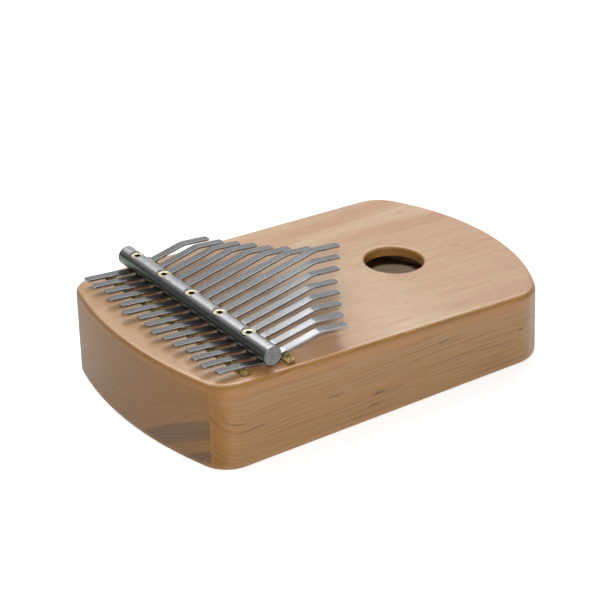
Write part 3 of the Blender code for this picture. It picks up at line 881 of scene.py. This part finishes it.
def screw_grid(x, turn, count=72):
    """Rings from the socket's floor over the head and down the shank to the point."""
    angle = np.linspace(0, 2 * math.pi, count, endpoint=False)
    lobes = SOCKET["mean"] + SOCKET["swing"] * np.cos(6 * (angle - turn))
    head, rim_depth, shank = SCREW["head"], SCREW["rim"], SCREW["shank"]
    neck, bottom = rim_depth + head - shank, -SOCKET["depth"]
    soft = 0.12 * MM
    rings = [(0.0, bottom - 0.5 * MM), (lobes * 0.9, bottom), (lobes, bottom + soft)]
    rings += [(lobes, -soft), (lobes + soft * 0.3, -soft * 0.3), (lobes + soft, 0.0)]
    rings += [(head - soft * 2.5, 0.0), (head - soft, 0.0), (head - soft * 0.3, -soft * 0.3)]
    rings += [(head, -soft), (head, -rim_depth), (shank, -neck), (shank, -neck - soft)]
    depth = np.linspace(THREAD["start"], SCREW["length"] - 0.02 * MM, 110)
    for level in depth:
        phase = level / THREAD["pitch"] - angle / (2 * math.pi)
        taper = np.clip((SCREW["length"] - level) / SCREW["tip"], 0, 1)
        rings.append(((shank - THREAD["depth"] * triangle(phase)) * taper, -level))
    rings.append((0.0, -SCREW["length"]))
    radius = np.stack([np.broadcast_to(r, count) for r, z in rings])
    height = np.array([z for r, z in rings])[:, None]
    return on_top(x + radius * np.cos(angle), BAR_Y + radius * np.sin(angle), HEAD_TOP + height)


SOCKET_TURN = 0.37
for number in range(1, SCREW_COUNT + 1):
    screw = screw_grid(screw_x(number), SOCKET_TURN * number)
    piece = new_piece(f"countersunk_screw_{number}", screw)
    piece.data.materials.append(screw_zinc)
    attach(piece, "frame")
    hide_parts(f"clamp_screw_{number}")
report(piece)

# %% [markdown]
# ## Clamp bar
#
# The bar starts as plain round stock with softly broken rims. Each screw sits in a flat-bottomed
# pocket that an end mill leaves, so the pocket's edge is a saddle curve on the round bar. Here a
# Boolean is the right tool: the cutters are turned shapes like the screw, only a little wider.

# %% Bar
POCKET_CLEARANCE = 0.4 * MM


def turned_z(profile, x, z, count=72):
    """Rings round an axis square to the top, from (radius, height) pairs.

    The rings start half a step off the bar's own rows of points, which keeps the cut clean.
    """
    angle = np.linspace(0, 2 * math.pi, count, endpoint=False) + math.pi / count
    radius, height = (np.array(column)[:, None] for column in zip(*profile))
    return on_top(x + radius * np.cos(angle), BAR_Y + radius * np.sin(angle), z + height)


def pocket_profile():
    """Pocket, countersink and through hole, from the pole above the bar to the pole below it."""
    pocket = SCREW["head"] + POCKET_CLEARANCE
    bore, seat = SCREW["shank"] + GAP, SCREW["rim"] + GAP / 2
    foot = -2 * BAR_RADIUS - 1 * MM
    top = HEAD_BELOW_BAR_TOP + 1 * MM
    countersink = [(pocket, -seat), (bore, bore - pocket - seat)]
    return [(0, top), (pocket, top), *countersink, (bore, foot), (0, foot)]


along, radius = rounded_rod(BAR_RADIUS, BAR_LENGTH, 0.4 * MM)
stock = turned_x(along, radius, BAR_Y, BAR_UNDERSIDE + BAR_RADIUS, BAR_OFFSET, count=128)
bar = new_piece("drawn_clamp_bar", stock)
pockets = []
for number in range(1, SCREW_COUNT + 1):
    cutter = turned_z(pocket_profile(), screw_x(number), HEAD_TOP)
    pockets.append(new_piece(f"pocket_{number}", cutter))
cut_out(bar, pockets)
bar.data.materials.append(bar_steel)
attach(bar, "frame")
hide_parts("clamp_bar")
report(bar)

# %% [markdown]
# ## Tines
#
# A tine is a strip bent in side view only: behind the rear bridge it rises, under the bar it
# dips, in front it climbs and at the thumb it is bent level. Between the three contacts it is an
# elastic strip, so a cubic with matching slopes is the true shape there. The rising part sags by
# a hair, as strip that was bent by hand does, and this decides what it mirrors. The side view is
# a path, and a rounded rectangle is carried along it. Towards both ends the rectangle narrows
# along a quarter circle for the round corners, and in the last tenths of a millimetre it thins.

# %% Tine path
TINE_WIDTH, TINE_THICKNESS, TINE_CORNER, TINE_EDGE = 4.6 * MM, 1 * MM, 1.2 * MM, 0.2 * MM
TIP_LENGTH, TIP_SLOPE, TAIL_SLOPE, BEND_RADIUS = 15.5 * MM, -0.06, -0.06, 9 * MM
RISE, RISE_STEP, RISING_BOW = 0.235, -0.0025, 0.0035
LONGEST, USUAL_TAIL = 73.5 * MM, 16 * MM
TUNING = (
    0.45, 0.495, 0.56, 0.625, 0.68, 0.755, 0.85, 1,
    0.92, 0.835, 0.74, 0.675, 0.605, 0.54, 0.49,
)
TAIL_TRIM = (0.97, 1, 0.88, 1.06, 0.97, 1.18, 0.97, 1.03, 1.15, 1.06, 1.03, 0.9, 1.03, 1.06, 0.88)


def cubic(start, start_slope, end, end_slope, count):
    """Hermite cubic between two (y, z) places with given slopes, without its first point."""
    t = np.linspace(0, 1, count + 1)[1:]
    run = end[0] - start[0]
    z = (2 * t**3 - 3 * t**2 + 1) * start[1] + (3 * t**2 - 2 * t**3) * end[1]
    z += run * ((t**3 - 2 * t**2 + t) * start_slope + (t**3 - t**2) * end_slope)
    return np.column_stack([start[0] + t * run, z])


def dip_slope(rear, low, front, rise):
    """The slope under the bar that gives the strip one curvature on both sides of it."""
    back_run, fore_run = low[0] - rear[0], front[0] - low[0]
    pull = 3 * (low[1] - rear[1]) / back_run**2 + 3 * (front[1] - low[1]) / fore_run**2
    pull -= TAIL_SLOPE / back_run + rise / fore_run
    return pull / (2 / back_run + 2 / fore_run)


def tine_path(number):
    """The lower face in side view, (y, z) on the sloping top, from the tail's end to the tip."""
    rise = RISE + RISE_STEP * (number - (TINE_COUNT + 1) / 2)
    rear = np.array([REAR_ROD["y"], REAR_ROD["top"] + GAP])
    low = np.array([BAR_Y, BAR_UNDERSIDE - GAP - TINE_THICKNESS])
    front = np.array([FRONT_ROD["y"], FRONT_ROD["top"] + GAP])
    tail = rear - USUAL_TAIL * TAIL_TRIM[number - 1] * np.array([1, TAIL_SLOPE])
    dip = dip_slope(rear, low, front, rise)
    tip_y = FRONT_ROD["y"] + LONGEST * TUNING[number - 1]
    corner = np.array([tip_y - TIP_LENGTH, front[1] + rise * (tip_y - TIP_LENGTH - front[0])])
    tip = corner + TIP_LENGTH * np.array([1, TIP_SLOPE])
    climb, level = math.atan(rise), math.atan(TIP_SLOPE)
    reach = BEND_RADIUS * math.tan((climb - level) / 2)
    centre = corner - reach * np.array([math.cos(climb), math.sin(climb)])
    centre += BEND_RADIUS * np.array([math.sin(climb), -math.cos(climb)])
    bend_angle = math.pi / 2 + np.linspace(climb, level, 13)
    bend = centre + BEND_RADIUS * np.column_stack([np.cos(bend_angle), np.sin(bend_angle)])
    behind, ahead = cubic(rear, TAIL_SLOPE, low, dip, 12), cubic(low, dip, front, rise, 12)
    return [tail, rear, behind, ahead, bend, tip]


def end_spacing(length):
    """Distances from an end that follow the round corner closely: corner x (1 - cos a)."""
    close = TINE_EDGE * (1 - np.cos(np.linspace(0, math.pi / 2, 5)))
    round_part = TINE_CORNER * (1 - np.cos(np.linspace(0.75, math.pi / 2, 7)))
    return np.concatenate([close, round_part, [TINE_CORNER * 1.3, length]])


def tine_sections(number):
    """Path points with extra stations at both ends, and each one's distance to the nearer end."""
    tail, rear, dip, climb, bend, tip = tine_path(number)
    tail_run, tip_run = rear - tail, tip - bend[-1]
    tail_length, tip_length = np.hypot(*tail_run), np.hypot(*tip_run)
    from_tail = end_spacing(tail_length * 0.6)
    from_tip = end_spacing(tip_length * 0.6)[::-1]
    straight = bend[0] - climb[-1]
    bow = RISING_BOW * np.array([straight[1], -straight[0]])
    share = np.linspace(0.05, 0.95, 13)[:, None]
    path = np.vstack([
        tail + from_tail[:, None] / tail_length * tail_run,
        rear, dip, climb,
        climb[-1] + share * straight + bow * 4 * share * (1 - share),
        bend,
        tip - from_tip[:, None] / tip_length * tip_run,
    ])
    step = np.hypot(*np.diff(path, axis=0).T)
    station = np.concatenate([[0], np.cumsum(step)])
    return path, np.minimum(station, station[-1] - station)


# %% Tine surface
SUPPORT_SHARE = 0.35
BENDING_SHARE = 0.30


def rounded_rectangle(half_width, half_height, edge, count=5):
    """Corner centres plus edge (cos a, sin a): one closed section for each station.

    Each arc gets one more point at both ends, a little way along the flat. They hold the
    shading of the flats plane, so that the strip mirrors like sheet and not like a rod.
    """
    half_width, half_height, edge = (size[:, None] for size in (half_width, half_height, edge))
    angle = np.concatenate([[0], np.linspace(0, math.pi / 2, count), [math.pi / 2]])
    aside = np.array([-1] + [0] * count + [1])
    corner = np.concatenate([angle + quarter * math.pi / 2 for quarter in range(4)])
    along_flat = np.tile(aside, 4) * SUPPORT_SHARE * (half_height - edge)
    sign_x = np.repeat([1, -1, -1, 1], count + 2)
    sign_y = np.repeat([1, 1, -1, -1], count + 2)
    across = sign_x * (half_width - edge) + edge * np.cos(corner) - along_flat * np.sin(corner)
    upwards = sign_y * (half_height - edge) + edge * np.sin(corner) + along_flat * np.cos(corner)
    return across, upwards


def tine_grid(number):
    """The section carried along the path, square to it, narrowed and thinned at the ends."""
    path, to_end = tine_sections(number)
    slope = np.gradient(path, axis=0)
    slope /= np.hypot(slope[:, 0], slope[:, 1])[:, None]
    normal = np.column_stack([-slope[:, 1], slope[:, 0]])
    gone = np.clip(TINE_CORNER - to_end, 0, None)
    half_width = TINE_WIDTH / 2 - TINE_CORNER + np.sqrt(TINE_CORNER**2 - gone**2)
    thin = np.clip(TINE_EDGE - to_end, 0, None)
    half_height = TINE_THICKNESS / 2 - TINE_EDGE + np.sqrt(TINE_EDGE**2 - thin**2)
    edge = np.minimum(TINE_EDGE, half_height * 0.5)
    across, upwards = rounded_rectangle(half_width, half_height, edge)
    offset = TINE_THICKNESS / 2 + upwards
    y = path[:, :1] + normal[:, :1] * offset
    z = path[:, 1:] + normal[:, 1:] * offset
    skin = on_top(tine_x(number) + across, y, z)
    pole = [np.broadcast_to(section.mean(0), section.shape) for section in (skin[0], skin[-1])]
    return np.concatenate([pole[:1], skin, pole[1:]])


start_y, start_z = FRONT_ROD["y"], FRONT_ROD["top"] + GAP
for number in range(1, TINE_COUNT + 1):
    piece = new_piece(f"tine_strip_{number:02d}", tine_grid(number))
    piece.data.materials.append(tine_steel)
    bending = BENDING_SHARE * (LONGEST * TUNING[number - 1])
    start = on_top(tine_x(number), start_y, start_z)
    end = on_top(tine_x(number), start_y + bending, start_z + bending * RISE)
    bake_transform(piece)
    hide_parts(f"tine_{number:02d}")
report(piece)

# %% [markdown]
# ## Floor, light and background
#
# The picture has a plain white ground. The floor is a pale plane whose brightness is lifted for
# camera rays and mirror rays only, so the white costs the object no extra light, and the floor
# still darkens where the box shades it. Three soft lamps and a dim dome light the object. The
# panel overhead is what the rising parts of the nearer tines mirror. The panel behind the box
# gives the top and the bar their sheen. The lamp above the camera fills the faces turned to it,
# and mirror rays don't see it, so that the top keeps its colour when it is seen from behind.

# %% Floor
def seen_by(tree, *rays):
    """1 for rays of these kinds (Camera, Glossy, Transmission), 0 for all others."""
    path = tree.nodes.new("ShaderNodeLightPath")
    kinds = [Wire(tree, path.outputs[f"Is {ray} Ray"]) for ray in rays]
    seen = kinds[0]
    for kind in kinds[1:]:
        seen = seen.maths("MAXIMUM", seen, kind)
    return seen


def white_ground(name, grey, glow):
    """Diffuse grey ground with an added glow where the camera or a mirror looks at it."""
    material, shader, place = new_material(name)
    shader.inputs["Base Color"].default_value = (grey, grey, grey, 1)
    shader.inputs["Roughness"].default_value = 0.9
    shader.inputs["Specular IOR Level"].default_value = 0.0
    shader.inputs["Emission Strength"].default_value = 1.0
    looked_at = seen_by(place.tree, "Camera", "Glossy", "Transmission")
    connect(looked_at.mixed((0.0, 0.0, 0.0), (glow, glow, glow)), shader, "Emission Color")
    return material


FLOOR_HALF, FLOOR_DROP = 2.5, 0.2 * MM
floor_mesh = bpy.data.meshes.new("floor")
corners = [(x * FLOOR_HALF, y * FLOOR_HALF, 0) for x, y in ((-1, -1), (1, -1), (1, 1), (-1, 1))]
floor_mesh.from_pydata(corners, [], [(0, 1, 2, 3)])
floor = new_object("floor", floor_mesh)
floor.location.z = -FLOOR_DROP
floor.data.materials.append(white_ground("white_ground", 0.78, 0.56))


# %% Lights and world
OBJECT_MIDDLE = (0, 0, 0.04)
LAMP_ABOVE_CAMERA = 0.125


def panel(name, place, target, size, power):
    """A rectangular soft light at a place, turned to face a target."""
    light = bpy.data.lights.new(name, "AREA")
    light.shape = "RECTANGLE"
    light.size, light.size_y = size
    light.energy = power
    lamp = new_object(name, light)
    lamp.visible_camera = False
    lamp.location = place
    lamp.rotation_euler = (Vector(target) - Vector(place)).to_track_quat("-Z", "Y").to_euler()
    return lamp


overhead = panel("overhead_panel", (-0.482, 0.1241, 0.75), (-0.482, 0.1241, 0), (0.66, 0.85), 5.2)
overhead.rotation_euler.z = math.radians(-13.6)
panel("back_panel", (-1.517, 1.808, 1.93), OBJECT_MIDDLE, (1.365, 0.83), 9.3)
lamp_place = CAMERA_PLACE + LAMP_ABOVE_CAMERA * up
camera_lamp = panel("camera_lamp", lamp_place, OBJECT_MIDDLE, (0.03, 0.03), 10.5)
camera_lamp.visible_glossy = False

world = bpy.data.worlds.new("studio")
bpy.context.scene.world = world
world.use_nodes = True
sky = world.node_tree
background = sky.nodes["Background"]
direction = Wire(sky, sky.nodes.new("ShaderNodeTexCoord").outputs["Generated"])


def towards(compass, height):
    """How closely the sky direction points to a bearing (degrees from +X) and a height."""
    a, h = math.radians(compass), math.radians(height)
    axis = (math.cos(a) * math.cos(h), math.sin(a) * math.cos(h), math.sin(h))
    inputs = {0: direction, 1: axis}
    return direction.node("ShaderNodeVectorMath", inputs, out=1, operation="DOT_PRODUCT")


level = 0.16 + 0.26 * towards(180, 20).between(-0.2, 0.6)
level = level - 0.34 * towards(222, -5).between(0.8, 1.0)
level = level - 0.13 * towards(275, 5).between(0.1, 0.9)
dome = level.node("ShaderNodeCombineColor", {0: level, 1: level, 2: level})
backdrop = towards(138, 5).between(0.70, 0.90) * seen_by(sky, "Glossy") * 0.32
looked_at = seen_by(sky, "Camera", "Transmission")
white = looked_at.maths("MAXIMUM", looked_at, backdrop)
sky.links.new(white.mixed(dome, (1.0, 1.0, 1.0)).socket, background.inputs["Color"])
bpy.context.scene.view_settings.view_transform = "Standard"
